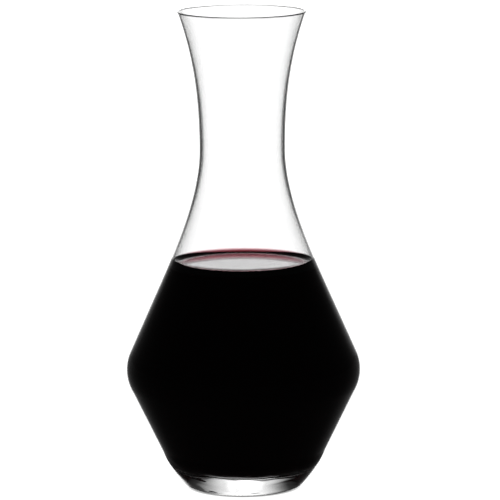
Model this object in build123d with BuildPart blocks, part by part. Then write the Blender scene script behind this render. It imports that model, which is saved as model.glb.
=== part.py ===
"""Wine decanter: a blown crystal vessel and the wine that it holds.

Millimetres, +Z up. The origin is the centre of the plane that the foot rests on.
Both pieces are solids of revolution about the Z axis, so each one is a half section,
drawn on Plane.XZ with x as the radius, and revolved.
"""

from build123d import *

import os
from math import asin, cos, degrees, radians, sin

# ---- Outer shape of the vessel ----
HEIGHT = 242.0  # resting plane to the top of the lip
RIM_RADIUS = 32.1  # outer radius of the wall at the lip
RIM_FLARE = 19.0  # degrees from vertical at the rim
WAIST_RADIUS = 21.6  # narrowest outer radius of the neck
WAIST_Z = 172.2
NECK_START_Z = 101.9  # the shoulder cone ends here and the neck curve starts
SHOULDER_ANGLE = 24.0  # degrees from vertical, narrowing upwards
LOWER_ANGLE = 26.0  # degrees from vertical, widening upwards
BELLY_APEX_RADIUS = 61.4  # where the two cones would meet without the rounding
BELLY_APEX_Z = 59.8
BELLY_ROUNDING = 21.6
BASE_CURVE_Z = 16.0  # the lower cone ends here and curves in to the foot
BASE_CURVE_RADIUS = 58.0

# Lengths of the neck curve's handles, each along the tangent at its own end.
HANDLE_SHOULDER = 22.0
HANDLE_WAIST_BELOW = 23.0
HANDLE_WAIST_ABOVE = 27.0
HANDLE_RIM = 24.0

# ---- Underside ----
FOOT_ROUNDING = 6.5
RING_INNER_RADIUS = 23.0  # the flat resting ring runs from here to the foot's edge
PUNT_HEIGHT = 1.2  # rise of the hollow inside the ring

# ---- Wall and cavity ----
WALL_BODY = 1.1
WALL_WAIST = 1.3
WALL_RIM = 0.9
LIP_WIDTH = 1.2  # fire-polished bead along the lip, measured across the wall
LIP_DEPTH = 0.7  # the same bead, measured along the wall
FLOOR_Z = 11.2  # top of the thick base
FLOOR_ROUNDING = 12.0

# ---- Wine ----
WINE_Z = 113.8  # level of the surface
WINE_GAP = 0.05  # running clearance, because the wine turns inside the vessel


def slope(angle):
    """Unit vector of a line that rises outwards at angle degrees from vertical."""
    return Vector(sin(radians(angle)), cos(radians(angle)))


def on_line(point, angle, z):
    """Place at height z on the line through point that has this slope."""
    return point + slope(angle) * ((z - point.Y) / cos(radians(angle)))


def belly_apex(inset):
    """Meeting point of the shoulder and lower cones, each moved inwards by inset."""
    upper, lower = radians(SHOULDER_ANGLE), radians(LOWER_ANGLE)
    span = sin(upper + lower)
    inwards = inset * (sin(upper) + sin(lower)) / span
    downwards = inset * (cos(upper) - cos(lower)) / span
    return Vector(BELLY_APEX_RADIUS - inwards, BELLY_APEX_Z - downwards)


def rim_point(inset):
    """Top end of the neck curve, moved inwards across the wall by inset."""
    flare = radians(RIM_FLARE)
    lip_rise = Vector(LIP_WIDTH / 2 * sin(flare), LIP_DEPTH / 2 * cos(flare)).length
    outer_z = HEIGHT - lip_rise - WALL_RIM / 2 * sin(flare)
    return Vector(RIM_RADIUS - inset * cos(flare), outer_z + inset * sin(flare))


def draw_side(start, body_inset, waist_inset, rim_inset):
    """Draw one surface of the wall, from start on the lower cone up to the rim."""
    apex = belly_apex(body_inset)
    shoulder_top = on_line(apex, -SHOULDER_ANGLE, NECK_START_Z)
    waist = Vector(WAIST_RADIUS - waist_inset, WAIST_Z)
    rim = rim_point(rim_inset)

    FilletPolyline(start, apex, shoulder_top, radius=BELLY_ROUNDING - body_inset)
    Bezier(
        shoulder_top,
        shoulder_top + slope(-SHOULDER_ANGLE) * HANDLE_SHOULDER,
        waist - Vector(0, HANDLE_WAIST_BELOW),
        waist,
    )
    Bezier(
        waist,
        waist + Vector(0, HANDLE_WAIST_ABOVE),
        rim - slope(RIM_FLARE) * HANDLE_RIM,
        rim,
    )


def draw_cavity(inset):
    """Draw the closed half section of the space in the vessel, made smaller by inset."""
    apex = belly_apex(WALL_BODY + inset)
    floor_z = FLOOR_Z + inset
    floor_edge = on_line(apex, LOWER_ANGLE, floor_z)
    wall_start = on_line(apex, LOWER_ANGLE, floor_z + FLOOR_ROUNDING)
    rim = rim_point(WALL_RIM + inset)

    FilletPolyline((0, floor_z), floor_edge, wall_start, radius=FLOOR_ROUNDING - inset)
    draw_side(wall_start, WALL_BODY + inset, WALL_WAIST + inset, WALL_RIM + inset)
    Polyline(rim, (0, rim.Y), (0, floor_z))


# ---- Glass vessel ----
# The base curve is an arc that leaves the lower cone smoothly and ends at z = 0.
base_curve_top = on_line(belly_apex(0), LOWER_ANGLE, BASE_CURVE_Z)
foot_angle = degrees(asin(BASE_CURVE_Z / BASE_CURVE_RADIUS + sin(radians(LOWER_ANGLE))))

with BuildPart() as glass_vessel:
    with BuildSketch(Plane.XZ) as vessel_section:
        with BuildLine():
            draw_side(base_curve_top, 0, 0, 0)
            Polyline(rim_point(0), rim_point(WALL_RIM), (0, rim_point(WALL_RIM).Y), (0, PUNT_HEIGHT))
            TangentArc((0, PUNT_HEIGHT), (RING_INNER_RADIUS, 0), tangent=(1, 0))
            base_curve = JernArc(
                base_curve_top,
                slope(LOWER_ANGLE) * -1,
                BASE_CURVE_RADIUS,
                LOWER_ANGLE - foot_angle,
            )
            Line((RING_INNER_RADIUS, 0), base_curve @ 1)
        make_face()
        foot_corner = vessel_section.vertices().sort_by_distance(base_curve @ 1)[0]
        fillet(foot_corner, radius=FOOT_ROUNDING)
        with BuildLine():
            draw_cavity(0)
        make_face(mode=Mode.SUBTRACT)
        with Locations(rim_point(WALL_RIM / 2)):
            Ellipse(LIP_WIDTH / 2, LIP_DEPTH / 2, rotation=-RIM_FLARE)
    revolve(axis=Axis.Z)

# ---- Wine ----
with BuildPart() as wine:
    with BuildSketch(Plane.XZ):
        with BuildLine():
            draw_cavity(WINE_GAP)
        make_face()
        with Locations((0, WINE_Z)):
            Rectangle(
                2 * BELLY_APEX_RADIUS,
                HEIGHT - WINE_Z,
                align=(Align.CENTER, Align.MIN),
                mode=Mode.SUBTRACT,
            )
    revolve(axis=Axis.Z)

# ---- Export ----
os.makedirs("parts", exist_ok=True)

glass_vessel.part.label = "glass_vessel"
export_step(glass_vessel.part, "parts/glass_vessel.step")

wine.part.label = "wine"
export_step(wine.part, "parts/wine.step")
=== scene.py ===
"""Looks of the wine decanter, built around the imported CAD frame.

The frame and the scene are in metres, +Z up. Outlines are in millimetres, as in the CAD:
each one is a half section whose points are (radius, height), turned about the Z axis.
"""

from math import acos, asin, atan2, cos, hypot, log, pi, radians, sin, tan

import bpy
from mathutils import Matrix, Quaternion, Vector


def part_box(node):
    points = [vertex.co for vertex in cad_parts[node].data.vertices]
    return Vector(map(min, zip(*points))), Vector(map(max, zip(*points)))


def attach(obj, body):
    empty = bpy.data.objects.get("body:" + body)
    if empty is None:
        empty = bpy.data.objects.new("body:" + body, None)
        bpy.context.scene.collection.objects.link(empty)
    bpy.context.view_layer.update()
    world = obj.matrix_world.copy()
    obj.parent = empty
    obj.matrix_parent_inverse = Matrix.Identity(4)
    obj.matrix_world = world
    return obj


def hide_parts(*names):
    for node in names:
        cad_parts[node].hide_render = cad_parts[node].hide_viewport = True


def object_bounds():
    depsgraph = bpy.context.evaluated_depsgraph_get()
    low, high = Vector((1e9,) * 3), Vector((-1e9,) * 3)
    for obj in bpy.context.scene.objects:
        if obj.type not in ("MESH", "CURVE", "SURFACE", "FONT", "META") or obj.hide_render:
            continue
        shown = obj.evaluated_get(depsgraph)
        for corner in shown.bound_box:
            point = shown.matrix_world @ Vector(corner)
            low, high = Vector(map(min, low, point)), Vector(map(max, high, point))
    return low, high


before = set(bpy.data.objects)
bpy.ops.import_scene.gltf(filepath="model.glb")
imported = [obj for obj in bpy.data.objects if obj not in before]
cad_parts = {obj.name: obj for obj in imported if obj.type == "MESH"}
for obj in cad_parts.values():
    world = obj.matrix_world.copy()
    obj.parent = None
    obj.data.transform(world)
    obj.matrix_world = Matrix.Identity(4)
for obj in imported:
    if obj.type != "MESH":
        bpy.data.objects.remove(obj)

cad_low, cad_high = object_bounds()
cad_wine_low, cad_wine_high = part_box("wine")

MM = 0.001


def millimetres(metres):
    """A size of the frame in millimetres, rounded to the micrometre."""
    return round(metres / MM, 3)


# ---- Heights from the frame ----
WINE_GAP = 0.05  # clearance between the wine and the glass in the CAD
HEIGHT = millimetres(cad_high.z)  # resting plane to the top of the lip
WINE_LEVEL_Z = millimetres(cad_wine_high.z)
FLOOR_Z = millimetres(cad_wine_low.z) - WINE_GAP  # top of the thick base, inside the bowl

# ---- Outer shape of the vessel, the same as in the CAD ----
RIM_RADIUS = 32.1  # outer radius of the wall at the lip
RIM_FLARE = radians(19)  # from vertical at the rim
WAIST_RADIUS = 21.6  # narrowest outer radius of the neck
WAIST_Z = 172.2
NECK_START_Z = 101.9  # the shoulder cone ends here and the neck curve starts
SHOULDER_ANGLE = radians(24)  # from vertical, narrowing upwards
LOWER_ANGLE = radians(26)  # from vertical, widening upwards
BELLY_APEX = Vector((61.4, 59.8))  # where the two cones would meet without the rounding
BELLY_ROUNDING = 21.6
BASE_CURVE_Z = 16.0  # the lower cone ends here and curves in to the foot
BASE_CURVE_RADIUS = 58.0

# Lengths of the neck curve's handles, each along the tangent at its own end.
HANDLE_SHOULDER = 22.0
HANDLE_WAIST_BELOW = 23.0
HANDLE_WAIST_ABOVE = 27.0
HANDLE_RIM = 24.0

# ---- Underside, wall and cavity, the same as in the CAD ----
FOOT_ROUNDING = 6.5
RING_INNER_RADIUS = 23.0  # the flat resting ring runs from here to the foot's edge
PUNT_HEIGHT = 1.2  # rise of the hollow inside the ring
FLOOR_ROUNDING = 12.0
WALL_BODY = 1.1  # thickness of the glass
WALL_WAIST = 1.3
WALL_RIM = 0.9
LIP_WIDTH = 1.2  # fire-polished bead along the lip, measured across the wall
LIP_DEPTH = 0.7  # the same bead, measured along the wall

# ---- Wine against the wall ----
CAPILLARY_LENGTH = 2.0  # sqrt(surface tension / (density * gravity)) of wine
CONTACT_ANGLE = radians(5)
WALL_LEAN = radians(22.5)  # inward lean of the wall where the wine's surface meets it
FLAT_TILT = 0.0005  # share of the tilt at the wall below which the surface counts as flat
CONTACT_MARGIN = 0.1  # the points of the wine's side stop this far below the contact line
WINE_EMBED = 0.01  # the wine's side lies this deep in the glass, so no air shows between

# ---- Number of steps along each stretch of an outline, and around the axis ----
PUNT_STEPS = 12
RING_STEPS = 4
FOOT_STEPS = 8
FOOT_CHORDS = 2  # steps of the base curve that the foot's rounding takes as straight
BASE_CURVE_STEPS = 24
CONE_STEPS = 6
BELLY_STEPS = 36
NECK_STEPS = 40  # shoulder to waist, and again waist to rim
LIP_STEPS = 32
FLOOR_STEPS = 6
FLOOR_ROUNDING_STEPS = 32
MENISCUS_STEPS = 44
LEVEL_STEPS = 8
SEGMENTS = 256
CREASE_ANGLE = radians(40)  # a sharper turn of the outline is shaded as an edge

# ---- Glass: lengths are in metres from here on ----
WHITE = (1, 1, 1, 1)
GLASS_IOR = 1.52
CORD_SCALE = 28  # of the noise that the cords are made from
CORD_DETAIL = 1
CORD_TWIST = 60  # radians that the cords turn about the axis for each metre of height
CORD_STRETCH = 0.3  # below 1 they are drawn out along the axis
CORD_FADE_Z = (0.012, 0.020)  # from full height in the base to faint in the wall
CORD_HEIGHT_BASE = 0.0024  # height of the bump, which only tilts the shading
CORD_HEIGHT_WALL = 0.00003

# ---- Wine ----
EDGE, SURFACE, DEEP = range(3)  # its material slots
WINE_IOR = 1.34
RIPPLE_SCALE = 60
RIPPLE_DETAIL = 2
RIPPLE_HEIGHT = 0.0000005
HAZE_SCALE = 50
HAZE_DETAIL = 4
DEEP_DARK = (0.024, 0.004, 0.005, 1)
DEEP_LIGHT = (0.046, 0.007, 0.009, 1)
LET_THROUGH = (0.72, 0.0, 0.12, 1)  # colour of light after a long way through clear wine
ABSORPTION = 1150  # density of the wine's colour
CLEAR_DEPTH = 0.0015  # the clear ring at the wall reaches this far below the level
CLEAR_WIDTH = 0.005  # and this far in from the wall
UPWARD = 0.5  # a face whose normal has a larger z than this is part of the free surface

# ---- Light: angles across and up from the middle of the view, and strengths ----
BACKDROP = 1.15
SIDE_EDGE_LOW = (radians(10), radians(17))  # its side fades between these, seen low down
SIDE_EDGE_HIGH = (radians(4), radians(38))  # and between these, seen high up
WIDENING = (radians(3), radians(13))  # heights where low changes to high
TOP_EDGE = (radians(25), radians(35))
CORE = 1.1  # brighter middle of the backdrop
CORE_SIDE = (radians(2), radians(14))
CORE_BOTTOM = (radians(10), radians(17))
SPILL = 0.17  # dim light beside the backdrop
SPILL_REACH = radians(12)  # it falls by a factor e over this angle
BOTTOM_EDGE = (radians(-32), radians(-10))
BOTTOM_SHADE = 0.35  # share of the light that is left low down
ROOM = 0.010  # light from everywhere else
CONTACT_SHADOW = (0.0262, 0.0305)  # radii between which the shadow under the foot fades
CONTACT_SHADE = 0.25  # share of the light that is left in it

# ---- Studio floor and camera ----
STUDIO_FLOOR_HALF = 20
STUDIO_FLOOR_DROP = 0.0001  # below the foot, so the two planes don't coincide
CAMERA_DISTANCE = 2.1175
CAMERA_HEIGHT = 0.4655
AIM_OFFSET = 0.0036
ROLL = radians(-0.29)
LENS = 306.6  # focal length in millimetres
SENSOR_WIDTH = 36  # millimetres
CLIP_START = 0.1
CLIP_END = 100


# ---- Drawing of outlines ----
def slope(angle):
    """Unit vector of a line that rises outwards at this angle from vertical."""
    return Vector((sin(angle), cos(angle)))


def on_line(point, angle, z):
    """Place at height z on the line through point that has this slope."""
    return point + slope(angle) * ((z - point.y) / cos(angle))


def straight(a, b, count):
    """Points from a to b, without b."""
    return [a.lerp(b, i / count) for i in range(count)]


def bezier(p0, p1, p2, p3, count):
    """Points on a cubic curve from p0 to p3, without p3."""
    points = []
    for i in range(count):
        t = i / count
        s = 1 - t
        points.append(p0 * s**3 + p1 * (3 * s * s * t) + p2 * (3 * s * t * t) + p3 * t**3)
    return points


def arc(centre, radius, start, end, count):
    """Points on an arc from angle start to angle end, both included."""
    angles = [start + (end - start) * i / count for i in range(count + 1)]
    return [centre + Vector((cos(a), sin(a))) * radius for a in angles]


def rounded(before, corner, after, radius, count):
    """Points of the rounding of a corner between two straight lines."""
    back = (before - corner).normalized()
    on = (after - corner).normalized()
    half = back.angle(on) / 2
    centre = corner + (back + on).normalized() * (radius / sin(half))
    first = corner + back * (radius / tan(half)) - centre
    last = corner + on * (radius / tan(half)) - centre
    start = atan2(first.y, first.x)
    turn = first.angle_signed(last)
    return arc(centre, radius, start, start - turn, count)


# ---- Outline of the vessel ----
def belly_apex(inset):
    """Meeting point of the shoulder and lower cones, each moved inwards by inset."""
    span = sin(SHOULDER_ANGLE + LOWER_ANGLE)
    inwards = inset * (sin(SHOULDER_ANGLE) + sin(LOWER_ANGLE)) / span
    downwards = inset * (cos(SHOULDER_ANGLE) - cos(LOWER_ANGLE)) / span
    return BELLY_APEX - Vector((inwards, downwards))


def rim_point(inset):
    """Top end of the neck curve, moved inwards across the wall by inset."""
    lip_rise = hypot(LIP_WIDTH / 2 * sin(RIM_FLARE), LIP_DEPTH / 2 * cos(RIM_FLARE))
    outer_z = HEIGHT - lip_rise - WALL_RIM / 2 * sin(RIM_FLARE)
    inwards = Vector((-cos(RIM_FLARE), sin(RIM_FLARE)))
    return Vector((RIM_RADIUS, outer_z)) + inwards * inset


def side(start, body_inset, waist_inset, rim_inset):
    """One surface of the wall, from start on the lower cone up to the rim.

    The insets move it inwards from the outer surface, at the body, the waist and the rim.
    """
    apex = belly_apex(body_inset)
    shoulder_top = on_line(apex, -SHOULDER_ANGLE, NECK_START_Z)
    belly = rounded(start, apex, shoulder_top, BELLY_ROUNDING - body_inset, BELLY_STEPS)
    waist = Vector((WAIST_RADIUS - waist_inset, WAIST_Z))
    rim = rim_point(rim_inset)
    lower_cone = straight(start, belly[0], CONE_STEPS)
    shoulder = straight(belly[-1], shoulder_top, CONE_STEPS)
    lower_neck = bezier(
        shoulder_top,
        shoulder_top + slope(-SHOULDER_ANGLE) * HANDLE_SHOULDER,
        waist - Vector((0, HANDLE_WAIST_BELOW)),
        waist,
        NECK_STEPS,
    )
    upper_neck = bezier(
        waist,
        waist + Vector((0, HANDLE_WAIST_ABOVE)),
        rim - slope(RIM_FLARE) * HANDLE_RIM,
        rim,
        NECK_STEPS,
    )
    return lower_cone + belly[:-1] + shoulder + lower_neck + upper_neck + [rim]


def cavity(inset):
    """Surface of the space inside the vessel, from the floor's centre up to the rim.

    The surface is moved into that space by inset, or into the glass if inset is negative.
    """
    apex = belly_apex(WALL_BODY + inset)
    floor_z = FLOOR_Z + inset
    centre = Vector((0, floor_z))
    corner = on_line(apex, LOWER_ANGLE, floor_z)
    above = on_line(apex, LOWER_ANGLE, floor_z + FLOOR_ROUNDING)
    rounding = rounded(centre, corner, above, FLOOR_ROUNDING - inset, FLOOR_ROUNDING_STEPS)
    wall = side(rounding[-1], WALL_BODY + inset, WALL_WAIST + inset, WALL_RIM + inset)
    return straight(centre, rounding[0], FLOOR_STEPS) + rounding[:-1] + wall


def punt():
    """The shallow hollow under the foot, from the axis out to the resting ring."""
    radius = (RING_INNER_RADIUS**2 + PUNT_HEIGHT**2) / (2 * PUNT_HEIGHT)
    centre = Vector((0, PUNT_HEIGHT - radius))
    return arc(centre, radius, pi / 2, pi / 2 - asin(RING_INNER_RADIUS / radius), PUNT_STEPS)


def base_curve(cone_end):
    """Curve from the resting plane up to the end of the lower cone."""
    centre = cone_end + Vector((-cos(LOWER_ANGLE), sin(LOWER_ANGLE))) * BASE_CURVE_RADIUS
    foot_angle = asin(centre.y / BASE_CURVE_RADIUS)
    return arc(centre, BASE_CURVE_RADIUS, -foot_angle, -LOWER_ANGLE, BASE_CURVE_STEPS)


def lip():
    """Elliptical bead on the rim, from the outer surface of the wall over to the inner."""
    centre = rim_point(WALL_RIM / 2)
    outwards = Vector((cos(RIM_FLARE), -sin(RIM_FLARE)))
    join = acos(WALL_RIM / LIP_WIDTH)
    points = []
    for i in range(LIP_STEPS + 1):
        a = -join + (pi + 2 * join) * i / LIP_STEPS
        across = outwards * (LIP_WIDTH / 2 * cos(a))
        points.append(centre + across + slope(RIM_FLARE) * (LIP_DEPTH / 2 * sin(a)))
    return points


def vessel_outline():
    """The glass: underside, foot, outer wall, lip, inner wall and floor."""
    ring_inner = Vector((RING_INNER_RADIUS, 0))
    cone_end = on_line(belly_apex(0), LOWER_ANGLE, BASE_CURVE_Z)
    base = base_curve(cone_end)
    foot = rounded(ring_inner, base[0], base[FOOT_CHORDS], FOOT_ROUNDING, FOOT_STEPS)
    bead = lip()
    outer = [p for p in base[:-1] if p.y > foot[-1].y] + side(cone_end, 0, 0, 0)
    outer = [p for p in outer if p.y < bead[0].y]
    inner = [p for p in cavity(0) if p.y < bead[-1].y][::-1]
    return punt()[:-1] + straight(ring_inner, foot[0], RING_STEPS) + foot + outer + bead + inner


# ---- Outline of the wine ----
def meniscus_rise(tilt):
    """Height above the flat level of the place where the liquid surface has this tilt."""
    return 2 * CAPILLARY_LENGTH * sin(tilt / 2)


def meniscus_distance(tilt):
    """Distance inwards of the place where the liquid surface has this tilt.

    Its zero has no meaning. Only the distance between two tilts does.
    """
    return -CAPILLARY_LENGTH * (log(tan(tilt / 4)) + 2 * cos(tilt / 2))


def contact_point(z):
    """Place at height z on the inside of the wall."""
    wall = cavity(0)
    above = next(i for i, p in enumerate(wall) if p.y >= z)
    low, high = wall[above - 1], wall[above]
    return low.lerp(high, (z - low.y) / (high.y - low.y))


def wine_outline():
    """The wine: floor, side and a surface that climbs the wall by capillary action."""
    touch_tilt = pi / 2 + WALL_LEAN - CONTACT_ANGLE
    contact_z = WINE_LEVEL_Z + meniscus_rise(touch_tilt)
    touch = contact_point(contact_z)
    below = [p for p in cavity(-WINE_EMBED) if p.y < contact_z - CONTACT_MARGIN]
    meniscus = []
    for i in range(MENISCUS_STEPS + 1):
        tilt = touch_tilt * FLAT_TILT ** (i / MENISCUS_STEPS)
        away = meniscus_distance(tilt) - meniscus_distance(touch_tilt)
        meniscus.append(Vector((touch.x - away, WINE_LEVEL_Z + meniscus_rise(tilt))))
    centre = Vector((0, WINE_LEVEL_Z))
    level = straight(Vector((meniscus[-1].x, WINE_LEVEL_Z)), centre, LEVEL_STEPS)
    return below + [touch + Vector((WINE_EMBED, 0))] + meniscus + level[1:] + [centre]


# ---- Meshes ----
def mark_corners(mesh, ring_points):
    """Makes the rings at which the outline turns sharply into sharp edges."""
    corners = set()
    for j in range(1, len(ring_points) - 1):
        before, here, after = ring_points[j - 1:j + 2]
        if (here - before).angle(after - here) > CREASE_ANGLE:
            corners.add(j)
    sharp = mesh.attributes.new("sharp_edge", "BOOLEAN", "EDGE")
    for edge in mesh.edges:
        a, b = ((v - 1) // SEGMENTS for v in edge.vertices)
        sharp.data[edge.index].value = a == b and a in corners


def revolve(name, outline):
    """A closed smooth mesh made by turning an outline that starts and ends on the axis."""
    ring_points = outline[1:-1]
    verts = [(0, 0, outline[0].y * MM)]
    for p in ring_points:
        for k in range(SEGMENTS):
            a = 2 * pi * k / SEGMENTS
            verts.append((p.x * cos(a) * MM, p.x * sin(a) * MM, p.y * MM))
    verts.append((0, 0, outline[-1].y * MM))
    faces = []
    last = len(verts) - 1
    top_ring = last - SEGMENTS
    for k in range(SEGMENTS):
        n = (k + 1) % SEGMENTS
        faces.append((0, 1 + n, 1 + k))
        faces.append((last, top_ring + k, top_ring + n))
        for j in range(len(ring_points) - 1):
            low = 1 + j * SEGMENTS
            high = low + SEGMENTS
            faces.append((low + k, low + n, high + n, high + k))
    mesh = bpy.data.meshes.new(name)
    mesh.from_pydata(verts, [], faces)
    mesh.polygons.foreach_set("use_smooth", [True] * len(mesh.polygons))
    mark_corners(mesh, ring_points)
    mesh.update()
    piece = bpy.data.objects.new(name, mesh)
    bpy.context.collection.objects.link(piece)
    return piece


# ---- Shader nodes: an input is a value, or an output of another node to link to ----
def add_node(tree, kind, inputs=None, **settings):
    """A shader node with these settings, and with inputs given by name or number."""
    node = tree.nodes.new("ShaderNode" + kind)
    for name, value in settings.items():
        setattr(node, name, value)
    for socket, value in (inputs or {}).items():
        if isinstance(value, bpy.types.NodeSocket):
            tree.links.new(value, node.inputs[socket])
        else:
            node.inputs[socket].default_value = value
    return node


def calculate(tree, operation, *values):
    """Result of a maths node on one or two values."""
    return add_node(tree, "Math", dict(enumerate(values)), operation=operation).outputs[0]


def vector_calculate(tree, operation, vector, **inputs):
    """A vector maths node on one vector."""
    return add_node(tree, "VectorMath", {0: vector, **inputs}, operation=operation)


def ramp(tree, value, start, end, low, high):
    """Goes smoothly from low to high while value goes from start to end."""
    inputs = {"Value": value, "From Min": start, "From Max": end, "To Min": low, "To Max": high}
    return add_node(tree, "MapRange", inputs, interpolation_type="SMOOTHSTEP").outputs["Result"]


def mix_colours(tree, share, first, second):
    """Colour that goes from first to second while share goes from 0 to 1.

    The sockets of a mix node share their names between data types. The colour mode
    uses inputs 0, 6 and 7, and output 2.
    """
    return add_node(tree, "Mix", {0: share, 6: first, 7: second}, data_type="RGBA").outputs[2]


def object_place(tree):
    """Place on the piece, in its own coordinates."""
    return add_node(tree, "TexCoord").outputs["Object"]


def noise(tree, place, scale, detail):
    """Noise between 0 and 1 at a place."""
    inputs = {"Vector": place, "Scale": scale, "Detail": detail}
    return add_node(tree, "TexNoise", inputs).outputs["Fac"]


def bump(tree, height, unit):
    """Normal of a surface raised by a height in this unit, which is given in metres."""
    inputs = {"Strength": 1, "Distance": unit, "Height": height}
    return add_node(tree, "Bump", inputs).outputs["Normal"]


def new_material(name):
    """An empty node material, its node tree and its output node."""
    material = bpy.data.materials.new(name)
    material.use_nodes = True
    tree = material.node_tree
    tree.nodes.clear()
    return material, tree, add_node(tree, "OutputMaterial")


# ---- Materials of the pieces ----
def cords(tree):
    """Normal of glass with twisted cords, strong in the thick base and faint above."""
    place = object_place(tree)
    height = add_node(tree, "SeparateXYZ", {"Vector": place}).outputs["Z"]
    angle = calculate(tree, "MULTIPLY", height, CORD_TWIST)
    twist = {"Vector": place, "Angle": angle}
    twisted = add_node(tree, "VectorRotate", twist, rotation_type="Z_AXIS").outputs[0]
    stretch = {"Vector": twisted, "Scale": (1, 1, CORD_STRETCH)}
    stretched = add_node(tree, "Mapping", stretch).outputs[0]
    pattern = noise(tree, stretched, CORD_SCALE, CORD_DETAIL)
    strength = ramp(tree, height, *CORD_FADE_Z, CORD_HEIGHT_BASE, CORD_HEIGHT_WALL)
    return bump(tree, calculate(tree, "MULTIPLY", pattern, strength), 1)


def ripples(tree):
    """Normal of a still liquid with faint ripples."""
    return bump(tree, noise(tree, object_place(tree), RIPPLE_SCALE, RIPPLE_DETAIL), RIPPLE_HEIGHT)


def haze(tree):
    """Near-black red of deep wine, clouded a little."""
    clouds = noise(tree, object_place(tree), HAZE_SCALE, HAZE_DETAIL)
    return mix_colours(tree, clouds, DEEP_DARK, DEEP_LIGHT)


def add_surface(tree, output, inputs):
    """A perfectly smooth surface with these inputs of the principled shader."""
    surface = add_node(tree, "BsdfPrincipled", {"Roughness": 0, **inputs})
    tree.links.new(surface.outputs[0], output.inputs["Surface"])


def add_clear_surface(tree, output, ior, normal):
    """A surface that only reflects and refracts."""
    look = {"Base Color": WHITE, "IOR": ior, "Transmission Weight": 1, "Normal": normal}
    add_surface(tree, output, look)


def glass_material():
    """Clear crystal."""
    material, tree, output = new_material("crystal_glass")
    add_clear_surface(tree, output, GLASS_IOR, cords(tree))
    return material


def wine_edge_material():
    """Clear red wine in the thin ring at the wall, where light gets through."""
    material, tree, output = new_material("red_wine_edge")
    add_clear_surface(tree, output, WINE_IOR, ripples(tree))
    absorb = add_node(tree, "VolumeAbsorption", {"Color": LET_THROUGH, "Density": ABSORPTION})
    tree.links.new(absorb.outputs[0], output.inputs["Volume"])
    return material


def wine_surface_material():
    """The free surface above deep wine, where nothing comes back but the reflection."""
    material, tree, output = new_material("red_wine_surface")
    look = {"Base Color": haze(tree), "IOR": WINE_IOR, "Normal": ripples(tree)}
    add_surface(tree, output, look)
    return material


def wine_deep_material():
    """Deep wine against the glass.

    It is near black, and a mirror as far as the step from glass to wine reflects:
    hardly at all head on, and fully at grazing angles.
    """
    material, tree, output = new_material("red_wine_deep")
    mirror = add_node(tree, "Fresnel", {"IOR": WINE_IOR / GLASS_IOR}).outputs[0]
    look = {
        "Base Color": mix_colours(tree, mirror, haze(tree), WHITE),
        "Metallic": mirror,
        "Specular IOR Level": 0,
        "Normal": cords(tree),
    }
    add_surface(tree, output, look)
    return material


# ---- Light: a bright field that stays behind the object as the camera sees it ----
def light_field(tree, direction):
    """Brightness of the surroundings along a world direction."""
    spaces = {"vector_type": "VECTOR", "convert_from": "WORLD", "convert_to": "CAMERA"}
    seen = add_node(tree, "VectorTransform", {"Vector": direction}, **spaces).outputs[0]
    unit = vector_calculate(tree, "NORMALIZE", seen).outputs[0]
    across, up, ahead = add_node(tree, "SeparateXYZ", {"Vector": unit}).outputs
    sideways = calculate(tree, "ARCTAN2", calculate(tree, "ABSOLUTE", across), ahead)
    rise = calculate(tree, "ARCSINE", up)

    edges = [ramp(tree, rise, *WIDENING, *ends) for ends in zip(SIDE_EDGE_LOW, SIDE_EDGE_HIGH)]
    backdrop = calculate(tree, "MULTIPLY", ramp(tree, sideways, *edges, 1, 0), BACKDROP)
    core_across = ramp(tree, sideways, *CORE_SIDE, CORE, 0)
    core = calculate(tree, "MULTIPLY", core_across, ramp(tree, rise, *CORE_BOTTOM, 0, 1))
    wall = calculate(tree, "ADD", backdrop, core)
    wall = calculate(tree, "MULTIPLY", wall, ramp(tree, rise, *TOP_EDGE, 1, 0))

    beyond = calculate(tree, "SUBTRACT", sideways, SIDE_EDGE_LOW[1])
    spill = calculate(tree, "EXPONENT", calculate(tree, "DIVIDE", beyond, -SPILL_REACH))
    spill = calculate(tree, "MULTIPLY", calculate(tree, "MINIMUM", spill, 1), SPILL)

    light = calculate(tree, "ADD", wall, spill)
    light = calculate(tree, "MULTIPLY", light, ramp(tree, rise, *BOTTOM_EDGE, BOTTOM_SHADE, 1))
    return calculate(tree, "ADD", light, ROOM)


def make_world():
    """The light field all round."""
    world = bpy.data.worlds.new("studio")
    bpy.context.scene.world = world
    world.use_nodes = True
    tree = world.node_tree
    tree.nodes.clear()
    direction = add_node(tree, "TexCoord").outputs["Generated"]
    background = add_node(tree, "Background", {"Strength": light_field(tree, direction)})
    add_node(tree, "OutputWorld", {"Surface": background.outputs[0]})


def floor_material():
    """A floor that glows like the light field behind it, with a shadow under the foot."""
    material, tree, output = new_material("pale_floor")
    incoming = add_node(tree, "NewGeometry").outputs["Incoming"]
    away = vector_calculate(tree, "SCALE", incoming, Scale=-1).outputs[0]
    from_axis = vector_calculate(tree, "LENGTH", object_place(tree)).outputs["Value"]
    shade = ramp(tree, from_axis, *CONTACT_SHADOW, CONTACT_SHADE, 1)
    strength = calculate(tree, "MULTIPLY", light_field(tree, away), shade)
    glow = add_node(tree, "Emission", {"Strength": strength})
    tree.links.new(glow.outputs[0], output.inputs["Surface"])
    return material


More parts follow.
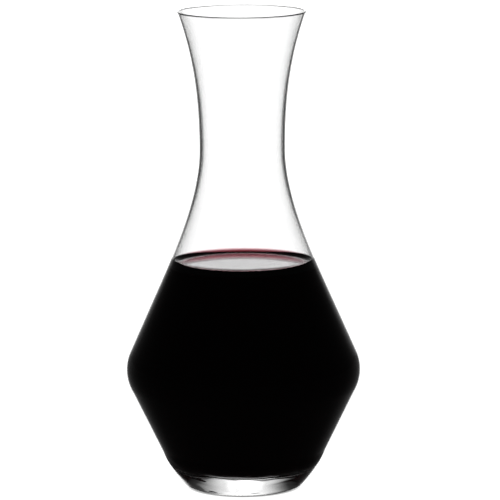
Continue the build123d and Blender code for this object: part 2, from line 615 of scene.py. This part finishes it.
def make_floor():
    """The studio floor, which is scenery and not part of the decanter."""
    mesh = bpy.data.meshes.new("floor")
    half = STUDIO_FLOOR_HALF
    corners = [(-half, -half, 0), (half, -half, 0), (half, half, 0), (-half, half, 0)]
    mesh.from_pydata(corners, [], [(0, 1, 2, 3)])
    mesh.materials.append(floor_material())
    floor = bpy.data.objects.new("floor", mesh)
    floor.location.z = -STUDIO_FLOOR_DROP
    bpy.context.collection.objects.link(floor)


def make_camera():
    """A long lens a little above the decanter, aimed just beside its middle."""
    aim = Vector((AIM_OFFSET, 0, (cad_low.z + cad_high.z) / 2))
    place = Vector((0, -CAMERA_DISTANCE, CAMERA_HEIGHT))
    camera = bpy.data.objects.new("camera", bpy.data.cameras.new("camera"))
    camera.data.lens = LENS
    camera.data.sensor_width = SENSOR_WIDTH
    camera.data.clip_start = CLIP_START
    camera.data.clip_end = CLIP_END
    camera.location = place
    camera.rotation_mode = "QUATERNION"
    toward = (aim - place).to_track_quat("-Z", "Y")
    camera.rotation_quaternion = toward @ Quaternion((0, 0, 1), ROLL)
    bpy.context.collection.objects.link(camera)
    bpy.context.scene.camera = camera


# ---- Pieces ----
def make_vessel():
    """The glass, in the place of the CAD's glass_vessel."""
    vessel = revolve("vessel_crystal", vessel_outline())
    vessel.data.materials.append(glass_material())
    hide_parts("glass_vessel")
    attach(vessel, "vessel")


def make_wine():
    """The wine: its ring at the wall is clear, and the rest is too deep to see through."""
    wine = revolve("wine_red", wine_outline())
    for material in (wine_edge_material(), wine_surface_material(), wine_deep_material()):
        wine.data.materials.append(material)
    level = WINE_LEVEL_Z * MM
    wine_radius = max(v.co.xy.length for v in wine.data.vertices if v.co.z > level)
    for face in wine.data.polygons:
        if face.center.z < level - CLEAR_DEPTH:
            face.material_index = DEEP
        elif face.normal.z > UPWARD and face.center.xy.length < wine_radius - CLEAR_WIDTH:
            face.material_index = SURFACE
        else:
            face.material_index = EDGE
    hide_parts("wine")
    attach(wine, "wine_body")


make_vessel()
make_wine()
make_world()
make_floor()
make_camera()
bpy.context.scene.view_settings.view_transform = "Standard"
